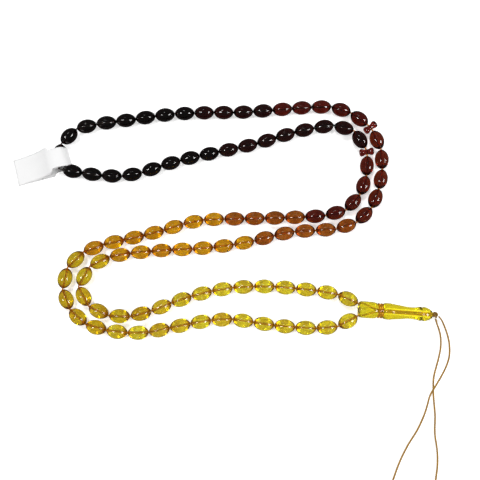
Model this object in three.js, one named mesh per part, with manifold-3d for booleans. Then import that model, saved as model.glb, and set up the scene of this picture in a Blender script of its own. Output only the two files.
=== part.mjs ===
// Misbaha: ninety-nine amber beads on one closed thread, with two separators, a three-piece imame,
// two thread tails and a paper tag. Millimetres, +Z up. The loop lies on the plane z = 0 as a doubled
// strand laid in an S, and the origin is on that plane, under the middle of the object without its tails.
import * as THREE from 'three';
import { mergeVertices } from 'three/addons/utils/BufferGeometryUtils.js';
import Module from 'manifold-3d';

const wasm = await Module();
wasm.setup();

// ---- Driving dimensions ----
const GAP = 0.3; // air between neighbouring solids

const BEAD_LENGTH = 8.9;
const BEAD_RADIUS = 3.2;
const TIP_RADIUS = 0.95;
const BEAD_SIDES = 8;
const BEAD_STATIONS = [-1, -0.62, 0, 0.62, 1]; // rings of a bead, as shares of half its length
const KNUCKLE_RADIUS = 1.2; // the collar that joins the tips of two beads made as one solid
const KNUCKLE_LENGTH = 1.8;

const THREAD_RADIUS = 0.45;
const THREAD_SIDES = 6;
const THREAD_HEIGHT = BEAD_RADIUS;
const BORE_RADIUS = THREAD_RADIUS + GAP + 0.05;
const BORE_SIDES = 6;

// A bend takes this much more thread for each radian, because the tips meet at their inner rims.
const BEND_ALLOWANCE = 1.45;
const ROUTE_SAMPLES = 24; // for each stretch between two points of a route

// Bare thread at the ends of a row of beads.
const BARE_AT_SEPARATOR = 1.85;
const BARE_AT_IMAME = 0.1;
const BARE_ABOVE_TAG_CORNER = 2.3;
const BARE_BELOW_TAG_CORNER = 1.9;

const SEPARATOR_LENGTH = 6.3;
const SEPARATOR_WAIST = 1.25;
const SEPARATOR_LOBE = 1.7;
const SEPARATOR_SIDES = 10;

const IMAME_START = new THREE.Vector3(62.8, -42.15, 3.65);
const IMAME_HEADING = -4.3; // degrees from +X
const IMAME_SIDES = 12;
const JUNCTION_LENGTH = 7.9;
const RING_LENGTH = 2.2;
const IMAME_BODY_LENGTH = 21.6;
const IMAME_BORE = 1.15; // takes the two threads side by side
const IMAME_THREAD_RADIUS = IMAME_BORE - GAP;
const ENTRY_OFFSET = 2.35; // from the imame's axis to the hole that a thread enters
const KNOT_RADIUS = 1.25;

const TAIL_STEPS = 40;

const TAG_HINGE = new THREE.Vector3(-74.22, 23.6, THREAD_HEIGHT);
const TAG_HEADING = 15.5; // degrees from +X, of the tag's long edges
const TAG_SLOPE = 8; // degrees down from the thread to the plane
const TAG_THICKNESS = 0.4;
const TAG_PANEL = { left: -20.5, right: -2.9, front: -3.4, back: 9.4 };
const TAG_BAND = { inner: 0.85, outer: 1.15, width: 1.4, sides: 8 };

// ---- Routes of the thread over the plane, [x, y], from one landmark to the next ----
const IMAME_TO_SEPARATOR = [
  [62.7, -39.6], [59, -37.6], [50.5, -34.6], [41, -33.6], [22.5, -32], [4, -32.9], [-14.5, -37.2],
  [-32.7, -44.1], [-43, -45.5], [-52.4, -43.8], [-60, -38], [-62.2, -28.8], [-55.3, -21.3],
  [-45.7, -18], [-26.2, -15.8], [-6.8, -14.8], [12.2, -12.3], [30.8, -7.7], [41, -6.7],
  [50.5, -6.4], [60, -4.4], [68, 0.7], [72.6, 8.8], [75.3, 17.9], [76.3, 27.2], [74.6, 36.6], [71.2, 42.5],
];
const SEPARATOR_TO_TAG = [
  [71.2, 42.5], [66.5, 46.9], [58.5, 51.6], [49.5, 52.8], [30.5, 51.5], [12, 50], [-6.5, 49.8],
  [-24.5, 48.8], [-43, 46], [-62.6, 43.2], [-71.6, 38.2], [-74.5, 29.3], [-74, 22.5],
];
const TAG_TO_SEPARATOR = [
  [-74, 22.5], [-67.5, 21.2], [-57.7, 19.6], [-48.1, 18.9], [-38.6, 19.6], [-20.8, 25.7], [-2.6, 30],
  [16.4, 34.2], [34.4, 39.8], [43.3, 41.9], [52.5, 43.6], [61.3, 42.3], [67.2, 36.6], [69, 30.5],
];
const SEPARATOR_TO_IMAME = [
  [69, 30.5], [69.4, 24], [67.4, 15], [63.3, 7.3], [56.7, 1.9], [48.1, 0.2], [29.2, -0.7],
  [10.4, -1.2], [-9.4, -2], [-27.5, -7.3], [-46.7, -11.9], [-56.6, -14.4], [-65, -19.8], [-69.5, -28.6],
  [-67.9, -38.3], [-62.2, -46], [-53.4, -50.5], [-34.2, -52.7], [-14.7, -49], [4.2, -46.4],
  [22.8, -49], [41.3, -50.5], [51, -50.2], [59.6, -47.6], [62.4, -45],
];

// ---- Routes of the two free tails, [x, y, z] ----
const INNER_TAIL = [
  [96.8, -46.4, 3], [97.7, -48.4, 1.7], [98.8, -50.8, 0.75], [99.5, -54.2, 0.5], [99.3, -58.6, 0.5],
  [98.2, -63.2, 0.5], [96.7, -67.7, 0.5], [95.4, -72, 0.5], [95, -76.2, 0.5], [94.9, -81, 0.5],
  [95.1, -88, 0.5], [94.6, -95.5, 0.5], [95.2, -103, 0.5], [94.9, -109, 0.5], [93.8, -115, 0.5],
  [92.9, -122, 0.5], [93.5, -130, 0.5],
];
const OUTER_TAIL = [
  [98.2, -45.4, 3.3], [99.8, -47, 2.1], [101.3, -49.6, 0.95], [102.5, -53, 0.5], [103.2, -57.5, 0.5],
  [102.9, -62.5, 0.5], [101.2, -67, 0.75], [98.4, -71.4, 1.4], [95.2, -76, 1.75], [93, -79.6, 1.4],
  [91.9, -83.6, 0.75], [90.3, -88, 0.5], [87, -94.2, 0.5], [82.6, -100.5, 0.5], [79, -106.8, 0.5],
  [76, -113.6, 0.5], [73.2, -121, 0.5], [71.6, -128, 0.5],
];

// ---- Rows of beads, counted from the imame: how many beads each solid holds, in order ----
const PAIRED_ROW = Array(7).fill(3);
const BEAD_GROUPS = [
  1, 1, 3, 1, 3, 3, ...PAIRED_ROW, 1, 1, 3, 3, 3, 3, 1, 1, 1,
  1, 1, 3, 3, 3, 3, 1, 1, ...PAIRED_ROW, 3, 3, 1, 3, 1, 1,
];

// ---- Colours, by the first bead that has each one, counted from the imame ----
const AMBER_COLOURS = [
  { from: 1, colour: 0xd9c51e },
  { from: 11, colour: 0xc9a017 },
  { from: 17, colour: 0xcf8412 },
  { from: 24, colour: 0xa9480f },
  { from: 29, colour: 0x7a240c },
  { from: 34, colour: 0x6a1208 },
  { from: 39, colour: 0x33090a },
  { from: 43, colour: 0x120507 },
  { from: 59, colour: 0x2a0708 },
  { from: 67, colour: 0x5a140a },
  { from: 72, colour: 0xa9480f },
  { from: 76, colour: 0xcf8412 },
  { from: 83, colour: 0xc9a017 },
  { from: 88, colour: 0xd9c51e },
];
const LEMON = 0xd9c51e;
const CHERRY = 0x2d0a08;
const THREAD_BROWN = 0x6b3511;
const THREAD_GOLD = 0xa8690f;
const PAPER = 0xf2f2f0;

const part = new THREE.Group();
const UP = new THREE.Vector3(0, 0, 1);

function material(colour, roughness) {
  return new THREE.MeshStandardMaterial({ color: colour, roughness, metalness: 0 });
}

function addMesh(parent, name, geometry, colour, roughness = 0.15) {
  const mesh = new THREE.Mesh(geometry, material(colour, roughness));
  mesh.name = name;
  parent.add(mesh);
  return mesh;
}

// ---- Solids ----
function toManifold(geometry) {
  const bare = geometry.index ? geometry.clone() : geometry;
  bare.deleteAttribute('normal');
  bare.deleteAttribute('uv');
  const merged = mergeVertices(bare, 1e-4);
  return new wasm.Manifold(new wasm.Mesh({
    numProp: 3,
    vertProperties: new Float32Array(merged.attributes.position.array),
    triVerts: new Uint32Array(merged.index.array),
  }));
}

function toGeometry(manifold) {
  const mesh = manifold.getMesh();
  const geometry = new THREE.BufferGeometry();
  geometry.setAttribute('position', new THREE.BufferAttribute(new Float32Array(mesh.vertProperties), 3));
  geometry.setIndex(new THREE.BufferAttribute(new Uint32Array(mesh.triVerts), 1));
  geometry.computeVertexNormals();
  return geometry;
}

/** A solid turned about the X axis, from [along, radius] pairs in order along it. */
function turned(outline, sides, turn = 0) {
  const first = outline[0][0];
  const last = outline[outline.length - 1][0];
  const profile = [[first, 0], ...outline, [last, 0]];
  const geometry = new THREE.LatheGeometry(
    profile.map(([along, radius]) => new THREE.Vector2(radius, along)), sides, turn);
  return geometry.rotateZ(-Math.PI / 2);
}

/** A ring turned about the X axis, with a straight bore. */
function turnedRing(outline, bore, sides, turn = 0) {
  const first = outline[0][0];
  const last = outline[outline.length - 1][0];
  const profile = [[first, bore], ...outline, [last, bore], [first, bore]];
  const geometry = new THREE.LatheGeometry(
    profile.map(([along, radius]) => new THREE.Vector2(radius, along)), sides, turn);
  return geometry.rotateZ(-Math.PI / 2);
}

/** A path of straight runs with a section at each of its points. */
class BentPath extends THREE.Curve {
  constructor(points) {
    super();
    this.points = points;
  }

  getPoint(t, target = new THREE.Vector3()) {
    const runs = this.points.length - 1;
    const run = Math.min(Math.floor(t * runs), runs - 1);
    return target.lerpVectors(this.points[run], this.points[run + 1], t * runs - run);
  }

  getUtoTmapping(u) {
    return u;
  }
}

function tube(points, radius, sides) {
  const section = new THREE.Shape().absarc(0, 0, radius, 0, 2 * Math.PI);
  return new THREE.ExtrudeGeometry(section, {
    steps: points.length - 1,
    curveSegments: sides / 2,
    extrudePath: new BentPath(points),
  });
}

/** Turns and moves a solid made along X so that it lies along direction, centred on middle. */
function placeAlong(object, middle, direction) {
  const across = new THREE.Vector3().crossVectors(UP, direction).normalize();
  const above = new THREE.Vector3().crossVectors(direction, across);
  object.quaternion.setFromRotationMatrix(new THREE.Matrix4().makeBasis(direction, across, above));
  object.position.copy(middle);
  object.updateMatrix();
  return object;
}

// ---- The walk along the thread ----
function valueAt(table, key, points) {
  let i = 1;
  while (i < table.length - 1 && table[i] < key) {
    i += 1;
  }
  const share = (key - table[i - 1]) / (table[i] - table[i - 1]);
  return points[i - 1] instanceof THREE.Vector3
    ? points[i - 1].clone().lerp(points[i], share)
    : points[i - 1] + (points[i] - points[i - 1]) * share;
}

/** The points where bead tips meet along a route, with bare thread left at its start and its end. */
function tipPoints(route, beads, bareStart, bareEnd) {
  const corners = route.map(([x, y]) => new THREE.Vector3(x, y, THREAD_HEIGHT));
  const curve = new THREE.CatmullRomCurve3(corners, false, 'catmullrom', 0.5);
  const samples = curve.getPoints(ROUTE_SAMPLES * (route.length - 1));
  const lengths = [0];
  const shares = [0];
  let previous = samples[1].clone().sub(samples[0]);
  for (let i = 1; i < samples.length; i += 1) {
    const step = samples[i].clone().sub(samples[i - 1]);
    lengths.push(lengths[i - 1] + step.length());
    shares.push(shares[i - 1] + step.length() - BEND_ALLOWANCE * step.angleTo(previous));
    previous = step;
  }
  const total = lengths[lengths.length - 1];
  const start = valueAt(lengths, bareStart, shares);
  const end = valueAt(lengths, total - bareEnd, shares);
  const points = [];
  for (let i = 0; i <= beads; i += 1) {
    points.push(valueAt(shares, start + (end - start) * i / beads, samples));
  }
  return points;
}

function lastPoint(route) {
  const [x, y] = route[route.length - 1];
  return new THREE.Vector3(x, y, THREAD_HEIGHT);
}

const FIRST_ROW = tipPoints(IMAME_TO_SEPARATOR, 33, BARE_AT_IMAME, BARE_AT_SEPARATOR);
const SECOND_ROW = tipPoints(SEPARATOR_TO_TAG, 17, BARE_AT_SEPARATOR, BARE_ABOVE_TAG_CORNER);
const THIRD_ROW = tipPoints(TAG_TO_SEPARATOR, 16, BARE_BELOW_TAG_CORNER, BARE_AT_SEPARATOR);
const LAST_ROW = tipPoints(SEPARATOR_TO_IMAME, 33, BARE_AT_SEPARATOR, BARE_AT_IMAME);
const FIRST_SEPARATOR = lastPoint(IMAME_TO_SEPARATOR);
const SECOND_SEPARATOR = lastPoint(TAG_TO_SEPARATOR);
const TAG_CORNER = lastPoint(SEPARATOR_TO_TAG);

// Every bead as the stretch of thread that it takes, in order from the imame round to the imame.
const STRETCHES = [FIRST_ROW, SECOND_ROW, THIRD_ROW, LAST_ROW].flatMap(
  (row) => row.slice(1).map((to, i) => ({ from: row[i], to })));
const CORNER_AFTER = { 33: FIRST_SEPARATOR, 50: TAG_CORNER, 66: SECOND_SEPARATOR };

/** The thread's points through a run of beads, counted from one, with any bare corner between them. */
function threadPoints(first, last) {
  const points = [];
  for (let bead = first; bead <= last; bead += 1) {
    const { from, to } = STRETCHES[bead - 1];
    const before = points[points.length - 1];
    if (!before || before.distanceTo(from) > GAP) {
      points.push(from);
    }
    points.push(to);
    if (CORNER_AFTER[bead] && bead < last) {
      points.push(CORNER_AFTER[bead]);
    }
  }
  return points;
}

/** The same points with both ends drawn in, or pushed out where the length is negative. */
function drawnIn(points, startLength, endLength) {
  const path = points.map((point) => point.clone());
  const end = path.length - 1;
  const startRun = path[1].clone().sub(path[0]).normalize();
  const endRun = path[end - 1].clone().sub(path[end]).normalize();
  path[0].addScaledVector(startRun, startLength);
  path[end].addScaledVector(endRun, endLength);
  return path;
}

// ---- Beads ----
function beadRadiusAt(station) {
  const tip = TIP_RADIUS / BEAD_RADIUS;
  return BEAD_RADIUS * Math.sqrt(1 - station * station * (1 - tip * tip));
}

const BEAD_OUTLINE = BEAD_STATIONS.map(
  (station) => [station * BEAD_LENGTH / 2, beadRadiusAt(station)]);

function beadColour(bead) {
  return AMBER_COLOURS.filter((entry) => entry.from <= bead).pop().colour;
}

function middleAndDirection({ from, to }) {
  return [from.clone().add(to).multiplyScalar(0.5), to.clone().sub(from).normalize()];
}

function addSingleBead(number) {
  const geometry = turnedRing(BEAD_OUTLINE, BORE_RADIUS, BEAD_SIDES);
  const mesh = addMesh(part, `bead_${String(number).padStart(2, '0')}`, geometry, beadColour(number));
  placeAlong(mesh, ...middleAndDirection(STRETCHES[number - 1]));
}

/** A solid along X, moved to its place and made ready for joining. */
function placedManifold(geometry, middle, direction) {
  const holder = placeAlong(new THREE.Object3D(), middle, direction);
  return toManifold(geometry.applyMatrix4(holder.matrix));
}

function addJoinedBeads(first, count) {
  const last = first + count - 1;
  let solid = null;
  for (let bead = first; bead <= last; bead += 1) {
    const place = middleAndDirection(STRETCHES[bead - 1]);
    const next = placedManifold(turned(BEAD_OUTLINE, BEAD_SIDES), ...place);
    solid = solid ? solid.add(next) : next;
    if (bead < last) {
      const after = middleAndDirection(STRETCHES[bead]);
      const bend = place[1].clone().add(after[1]).normalize();
      const half = KNUCKLE_LENGTH / 2;
      const knuckle = turned([[-half, KNUCKLE_RADIUS], [half, KNUCKLE_RADIUS]], BORE_SIDES);
      solid = solid.add(placedManifold(knuckle, STRETCHES[bead - 1].to, bend));
    }
  }
  const path = drawnIn(threadPoints(first, last), -1, -1);
  solid = solid.subtract(toManifold(tube(path, BORE_RADIUS, BORE_SIDES)));
  const name = `beads_${String(first).padStart(2, '0')}_to_${String(last).padStart(2, '0')}`;
  addMesh(part, name, toGeometry(solid), beadColour(first + 1));
}

function addBeads() {
  let first = 1;
  for (const count of BEAD_GROUPS) {
    if (count === 1) {
      addSingleBead(first);
    } else {
      addJoinedBeads(first, count);
    }
    first += count;
  }
}

// ---- Thread: one length for each stretch of the loop that moves as one ----
const THREAD_CUT = GAP / 2 + 0.06; // drawn back from a fold on each side
const THREADS = [
  { name: 'thread_imame_end_first', first: 1, last: 5 },
  { name: 'thread_near_first', first: 6, last: 12 },
  { name: 'thread_middle_first', first: 13, last: 35 },
  { name: 'thread_far', first: 36, last: 64 },
  { name: 'thread_middle_last', first: 65, last: 87 },
  { name: 'thread_near_last', first: 88, last: 94 },
  { name: 'thread_imame_end_last', first: 95, last: 99 },
];

function addThreads() {
  for (const { name, first, last } of THREADS) {
    const path = drawnIn(threadPoints(first, last), THREAD_CUT, THREAD_CUT);
    const colour = first > 12 && last < 88 ? THREAD_BROWN : THREAD_GOLD;
    addMesh(part, name, tube(path, THREAD_RADIUS, THREAD_SIDES), colour, 0.8);
  }
}

// ---- Separators: a spool whose waist the thread crosses ----
function addSeparator(name, corner, before, after) {
  const half = SEPARATOR_LENGTH / 2;
  const halfOutline = [
    [-half, SEPARATOR_LOBE * 0.85], [-half * 0.82, SEPARATOR_LOBE], [-half * 0.5, SEPARATOR_LOBE * 0.92],
    [-half * 0.25, SEPARATOR_WAIST],
  ];
  const mirrored = halfOutline.map(([along, radius]) => [-along, radius]).reverse();
  const along = after.clone().sub(before).normalize();
  const across = new THREE.Vector3().crossVectors(along, UP);
  const spool = placedManifold(turned([...halfOutline, ...mirrored], SEPARATOR_SIDES), corner, across);
  const hole = tube([before, corner, after], BORE_RADIUS, BORE_SIDES);
  addMesh(part, name, toGeometry(spool.subtract(toManifold(hole))), CHERRY);
}

function addSeparators() {
  addSeparator('separator_first', FIRST_SEPARATOR, FIRST_ROW[33], SECOND_ROW[0]);
  addSeparator('separator_second', SECOND_SEPARATOR, THIRD_ROW[16], LAST_ROW[0]);
}

// ---- Imame: a junction that both threads enter, a ring and a long turned body ----
const IMAME_TURN = Math.PI / IMAME_SIDES; // sets a flat side underneath
const FLAT_SHARE = Math.cos(Math.PI / IMAME_SIDES); // a flat side's distance, as a share of its corners'

function cornered(outline) {
  return outline.map(([along, radius]) => [along, radius / FLAT_SHARE]);
}

function addImame() {
  const imame = new THREE.Group();
  imame.position.copy(IMAME_START);
  imame.rotation.z = THREE.MathUtils.degToRad(IMAME_HEADING);
  part.add(imame);

  const height = IMAME_START.z;
  const junctionEnd = JUNCTION_LENGTH;
  const ringStart = junctionEnd + GAP;
  const ringEnd = ringStart + RING_LENGTH;
  const bodyStart = ringEnd + GAP;
  const bodyEnd = bodyStart + IMAME_BODY_LENGTH;

  const junctionOutline = cornered([
    [0, height - 0.3], [1.2, height], [6, height], [junctionEnd, height - 0.4],
  ]);
  let junction = toManifold(turned(junctionOutline, IMAME_SIDES, IMAME_TURN));
  const inside = [];
  for (const side of [1, -1]) {
    const entry = new THREE.Vector3(-0.1, side * ENTRY_OFFSET, 0);
    const meeting = new THREE.Vector3(junctionEnd - 0.6, side * 0.3, 0);
    const through = meeting.clone().add(new THREE.Vector3(2, 0, 0));
    const outside = entry.clone().add(new THREE.Vector3(-1.5, side * 0.5, 0));
    junction = junction.subtract(toManifold(tube([outside, entry, meeting, through], BORE_RADIUS, BORE_SIDES)));
    inside.push(toManifold(tube([entry, meeting], THREAD_RADIUS, BORE_SIDES)));
  }
  const exit = tube([new THREE.Vector3(junctionEnd - 1.6, 0, 0), new THREE.Vector3(junctionEnd + 1, 0, 0)],
    IMAME_BORE, BORE_SIDES);
  junction = junction.subtract(toManifold(exit));
  addMesh(imame, 'imame_junction_bead', toGeometry(junction), LEMON);

  const ringOutline = cornered([
    [ringStart, 3.1], [ringStart + 0.35, 3.35], [ringStart + RING_LENGTH / 2, 3.05],
    [ringEnd - 0.35, 3.35], [ringEnd, 3.1],
  ]);
  addMesh(imame, 'imame_ring', turnedRing(ringOutline, IMAME_BORE, IMAME_SIDES, IMAME_TURN), LEMON);

  const bodyOutline = cornered([
    [0, 3.1], [1.3, height], [3.2, height], [8.2, 2.95], [10.4, 2.62], [13.8, 2.6], [15.7, 2.95],
    [16.9, 3.1], [17.3, 2.85], [17.7, 3.15], [18.8, 3], [20.4, 2.3], [IMAME_BODY_LENGTH, 1.5],
  ].map(([along, radius]) => [bodyStart + along, radius]));
  addMesh(imame, 'imame_body', turnedRing(bodyOutline, IMAME_BORE, IMAME_SIDES, IMAME_TURN), LEMON);

  const core = tube([new THREE.Vector3(junctionEnd - 1.3, 0, 0), new THREE.Vector3(bodyEnd, 0, 0)],
    IMAME_THREAD_RADIUS, BORE_SIDES);
  const threads = inside.reduce((solid, next) => solid.add(next), toManifold(core));
  addMesh(imame, 'thread_through_imame', toGeometry(threads), THREAD_GOLD, 0.8);

  const knot = addMesh(imame, 'tail_knot', new THREE.SphereGeometry(KNOT_RADIUS, 10, 8), THREAD_GOLD, 0.8);
  knot.position.x = bodyEnd + GAP + KNOT_RADIUS;
}

// ---- Tails ----
function addTail(name, route) {
  const curve = new THREE.CatmullRomCurve3(
    route.map(([x, y, z]) => new THREE.Vector3(x, y, z)), false, 'catmullrom', 0.5);
  addMesh(part, name, tube(curve.getSpacedPoints(TAIL_STEPS), THREAD_RADIUS, 8), THREAD_GOLD, 0.8);
}

// ---- Paper tag: a folded label whose band goes round the bare thread ----
function box(x0, x1, y0, y1, z0, z1) {
  const geometry = new THREE.BoxGeometry(x1 - x0, y1 - y0, z1 - z0);
  return geometry.translate((x0 + x1) / 2, (y0 + y1) / 2, (z0 + z1) / 2);
}

function addTag() {
  const half = TAG_THICKNESS / 2;
  const halfBand = TAG_BAND.width / 2;
  const panel = box(TAG_PANEL.left, TAG_PANEL.right, TAG_PANEL.front, TAG_PANEL.back, -half, half);
  const neck = box(TAG_PANEL.right - 1, -TAG_BAND.inner, -halfBand, halfBand, -half, half);
  const bandOutline = [[-halfBand, TAG_BAND.outer], [halfBand, TAG_BAND.outer]];
  const band = turned(bandOutline, TAG_BAND.sides).rotateZ(Math.PI / 2);
  const bore = turned([[-3, TAG_BAND.inner], [3, TAG_BAND.inner]], TAG_BAND.sides).rotateZ(Math.PI / 2);
  const solid = toManifold(panel).add(toManifold(neck)).add(toManifold(band)).subtract(toManifold(bore));
  const tag = addMesh(part, 'paper_tag', toGeometry(solid), PAPER, 0.9);
  tag.position.copy(TAG_HINGE);
  tag.rotation.set(0, -THREE.MathUtils.degToRad(TAG_SLOPE), THREE.MathUtils.degToRad(TAG_HEADING), 'ZYX');
}

addBeads();
addThreads();
addSeparators();
addImame();
addTail('tail_inner', INNER_TAIL);
addTail('tail_outer', OUTER_TAIL);
addTag();

export default part;
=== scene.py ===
# Misbaha: amber beads on one closed thread, an imame with two tails, two separators and a paper tag.
# Metres, in the frame of the CAD model.
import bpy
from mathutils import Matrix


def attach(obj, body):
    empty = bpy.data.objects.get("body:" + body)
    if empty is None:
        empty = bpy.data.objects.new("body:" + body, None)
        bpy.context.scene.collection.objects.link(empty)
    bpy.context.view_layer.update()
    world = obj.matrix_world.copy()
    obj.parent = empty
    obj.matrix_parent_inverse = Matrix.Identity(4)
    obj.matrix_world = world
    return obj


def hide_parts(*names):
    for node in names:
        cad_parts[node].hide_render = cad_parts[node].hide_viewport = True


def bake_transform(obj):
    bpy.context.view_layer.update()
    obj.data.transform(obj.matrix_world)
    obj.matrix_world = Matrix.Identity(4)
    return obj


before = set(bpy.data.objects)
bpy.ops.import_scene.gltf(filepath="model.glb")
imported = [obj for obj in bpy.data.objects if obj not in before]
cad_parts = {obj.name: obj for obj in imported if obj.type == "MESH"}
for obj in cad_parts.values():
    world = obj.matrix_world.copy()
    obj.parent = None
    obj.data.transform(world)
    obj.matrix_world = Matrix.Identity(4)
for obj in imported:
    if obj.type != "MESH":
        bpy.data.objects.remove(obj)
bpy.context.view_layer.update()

import math
import random

import bmesh
import bpy
from mathutils import Matrix, Vector

MM = 0.001
UP = Vector((0, 0, 1))
draws = random.Random(99)

# ---- Beads and thread ----
BEAD_LENGTH = 9.08 * MM
BEAD_RADIUS = 3.2 * MM
TIP_RADIUS = 0.82 * MM
RIM_RADIUS = 0.12 * MM
BORE_RADIUS = 0.47 * MM
BEAD_SIDES = 32
BEAD_STATIONS = 22
RIM_STEPS = 4
BORE_RINGS = (0.985, 0.7, 0.35, 0, -0.35, -0.7, -0.985)  # as shares of half a bead's length
POINTEDNESS = 0.15  # from 0, an ellipse, to 1, a lens with pointed ends
BEAD_SPREAD = 0.012  # how much narrower a bead may be than the widest ones, as a share
SEED_RANGE = 40  # a bead's pattern starts anywhere in this

SPECK_COUNTS = (0, 0, 1, 1, 2, 3)  # one of these is drawn for each bead
SPECK_SIZES = (0.10 * MM, 0.30 * MM)
SPECK_DEPTHS = (0.35, 0.7)  # as shares of the bead's radius
SPECK_REACH = 0.55  # towards the tips, as a share of half the bead's length
SPECK_CORNERS = (0, 1.1, 2.2, 3.3, 4.2, 5.3)  # angles round a speck

THREAD_RADIUS = 0.40 * MM
THREAD_HEIGHT = 3.2 * MM
THREAD_PITCH = 2.6 * MM  # one full turn of the ply
THREAD_PLIES = 3
THREAD_STEP = 0.32 * MM
THREAD_SIDES = 18
PLY_DEPTH = 0.07  # of the grooves between the plies, as a share of the thread's radius
TOUCHING = 0.1 * MM  # tips closer than this are one point of the thread
CUTTER_STEP = 0.6 * MM
CUTTER_SIDES = 20

BEND_ALLOWANCE = 1.45 * MM
ROUTE_SAMPLES = 24
BARE_AT_SEPARATOR = 1.85 * MM
BARE_AT_IMAME = 0.1 * MM
BARE_ABOVE_TAG_CORNER = 2.3 * MM
BARE_BELOW_TAG_CORNER = 1.9 * MM

# ---- Routes of the thread over the plane, in metres ----
IMAME_TO_SEPARATOR = [
    (0.0627, -0.0396), (0.059, -0.0376), (0.0505, -0.0346), (0.041, -0.0336), (0.0225, -0.032),
    (0.004, -0.0329), (-0.0145, -0.0372), (-0.0327, -0.0441), (-0.043, -0.0455), (-0.0524, -0.0438),
    (-0.06, -0.038), (-0.0622, -0.0288), (-0.0553, -0.0213), (-0.0457, -0.018), (-0.0262, -0.0158),
    (-0.0068, -0.0148), (0.0122, -0.0123), (0.0308, -0.0077), (0.041, -0.0067), (0.0505, -0.0064),
    (0.06, -0.0044), (0.068, 0.0007), (0.0726, 0.0088), (0.0753, 0.0179), (0.0763, 0.0272),
    (0.0746, 0.0366), (0.0712, 0.0425),
]
SEPARATOR_TO_TAG = [
    (0.0712, 0.0425), (0.0665, 0.0469), (0.0585, 0.0516), (0.0495, 0.0528), (0.0305, 0.0515),
    (0.012, 0.05), (-0.0065, 0.0498), (-0.0245, 0.0488), (-0.043, 0.046), (-0.0626, 0.0432),
    (-0.0716, 0.0382), (-0.0745, 0.0293), (-0.074, 0.0225),
]
TAG_TO_SEPARATOR = [
    (-0.074, 0.0225), (-0.0675, 0.0212), (-0.0577, 0.0196), (-0.0481, 0.0189), (-0.0386, 0.0196),
    (-0.0208, 0.0257), (-0.0026, 0.03), (0.0164, 0.0342), (0.0344, 0.0398), (0.0433, 0.0419),
    (0.0525, 0.0436), (0.0613, 0.0423), (0.0672, 0.0366), (0.069, 0.0305),
]
SEPARATOR_TO_IMAME = [
    (0.069, 0.0305), (0.0694, 0.024), (0.0674, 0.015), (0.0633, 0.0073), (0.0567, 0.0019),
    (0.0481, 0.0002), (0.0292, -0.0007), (0.0104, -0.0012), (-0.0094, -0.002), (-0.0275, -0.0073),
    (-0.0467, -0.0119), (-0.0566, -0.0144), (-0.065, -0.0198), (-0.0695, -0.0286), (-0.0679, -0.0383),
    (-0.0622, -0.046), (-0.0534, -0.0505), (-0.0342, -0.0527), (-0.0147, -0.049), (0.0042, -0.0464),
    (0.0228, -0.049), (0.0413, -0.0505), (0.051, -0.0502), (0.0596, -0.0476), (0.0624, -0.045),
]

# ---- Routes of the two tails, in metres ----
INNER_TAIL = [
    (0.0968, -0.0464, 0.003), (0.0977, -0.0484, 0.0017), (0.0988, -0.0508, 0.00075),
    (0.0995, -0.0542, 0.0005), (0.0993, -0.0586, 0.0005), (0.0982, -0.0632, 0.0005),
    (0.0967, -0.0677, 0.0005), (0.0954, -0.072, 0.0005), (0.095, -0.0762, 0.0005),
    (0.0949, -0.081, 0.0005), (0.0951, -0.088, 0.0005), (0.0946, -0.0955, 0.0005),
    (0.0952, -0.103, 0.0005), (0.0949, -0.109, 0.0005), (0.0938, -0.115, 0.0005),
    (0.0929, -0.122, 0.0005), (0.0935, -0.13, 0.0005),
]
OUTER_TAIL = [
    (0.0982, -0.0454, 0.0033), (0.0998, -0.047, 0.0021), (0.1013, -0.0496, 0.00095),
    (0.1025, -0.053, 0.0005), (0.1032, -0.0575, 0.0005), (0.1029, -0.0625, 0.0005),
    (0.1012, -0.067, 0.00075), (0.0984, -0.0714, 0.0014), (0.0952, -0.076, 0.00175),
    (0.093, -0.0796, 0.0014), (0.0919, -0.0836, 0.00075), (0.0903, -0.088, 0.0005),
    (0.087, -0.0942, 0.0005), (0.0826, -0.1005, 0.0005), (0.079, -0.1068, 0.0005),
    (0.076, -0.1136, 0.0005), (0.0732, -0.121, 0.0005), (0.0716, -0.128, 0.0005),
]
TAIL_SAMPLES = 12
TAIL_STEP = 0.25 * MM
TAIL_SIDES = 16
TAIL_KNOT_RADIUS = 0.85 * MM
KNOT_CORD_RADIUS = 0.42 * MM
TAIL_KNOT_HEIGHT = 0.86 * TAIL_KNOT_RADIUS + KNOT_CORD_RADIUS
KNOT_STEPS = 160
KNOT_SIDES = 14
KNOT_WAVES = 3  # times that the wound cord swings in and out on its way round
# As shares of the knot's radius.
KNOT_RING = 0.62
KNOT_SWING = 0.26
KNOT_THICKNESS = 0.5225

# ---- Imame ----
IMAME_START = Vector((62.8, -42.15, 3.65)) * MM
IMAME_HEADING = math.radians(-4.3)
JUNCTION_LENGTH = 7.9 * MM
IMAME_GAP = 0.3 * MM
RING_LENGTH = 2.2 * MM
IMAME_BODY_LENGTH = 21.6 * MM
RING_START = JUNCTION_LENGTH + IMAME_GAP
BODY_START = RING_START + RING_LENGTH + IMAME_GAP
BODY_END = BODY_START + IMAME_BODY_LENGTH
IMAME_SIDES = 48
IMAME_BORE = 1.0 * MM
IMAME_BORE_STEPS = 12
ENTRY_OUTSET = 0.1 * MM  # in front of the junction bead's end
ENTRY_OFFSET = 2.35 * MM  # from the imame's axis to the hole that a thread enters
ENTRY_DEPTH = 0.12  # where the thread in the junction bead begins, as a share of its bore
MEETING_INSET = 0.6 * MM
MEETING_OFFSET = 0.3 * MM
PAIR_OFFSET = 0.42 * MM  # from the imame's axis to each of the two threads
CLOSING_KNOT_RADIUS = 1.2 * MM
CLOSING_KNOT_OFFSET = 1.55 * MM  # from the end of the imame to the middle of its knot
CLOSING_KNOT_TURN = 0.6

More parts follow.
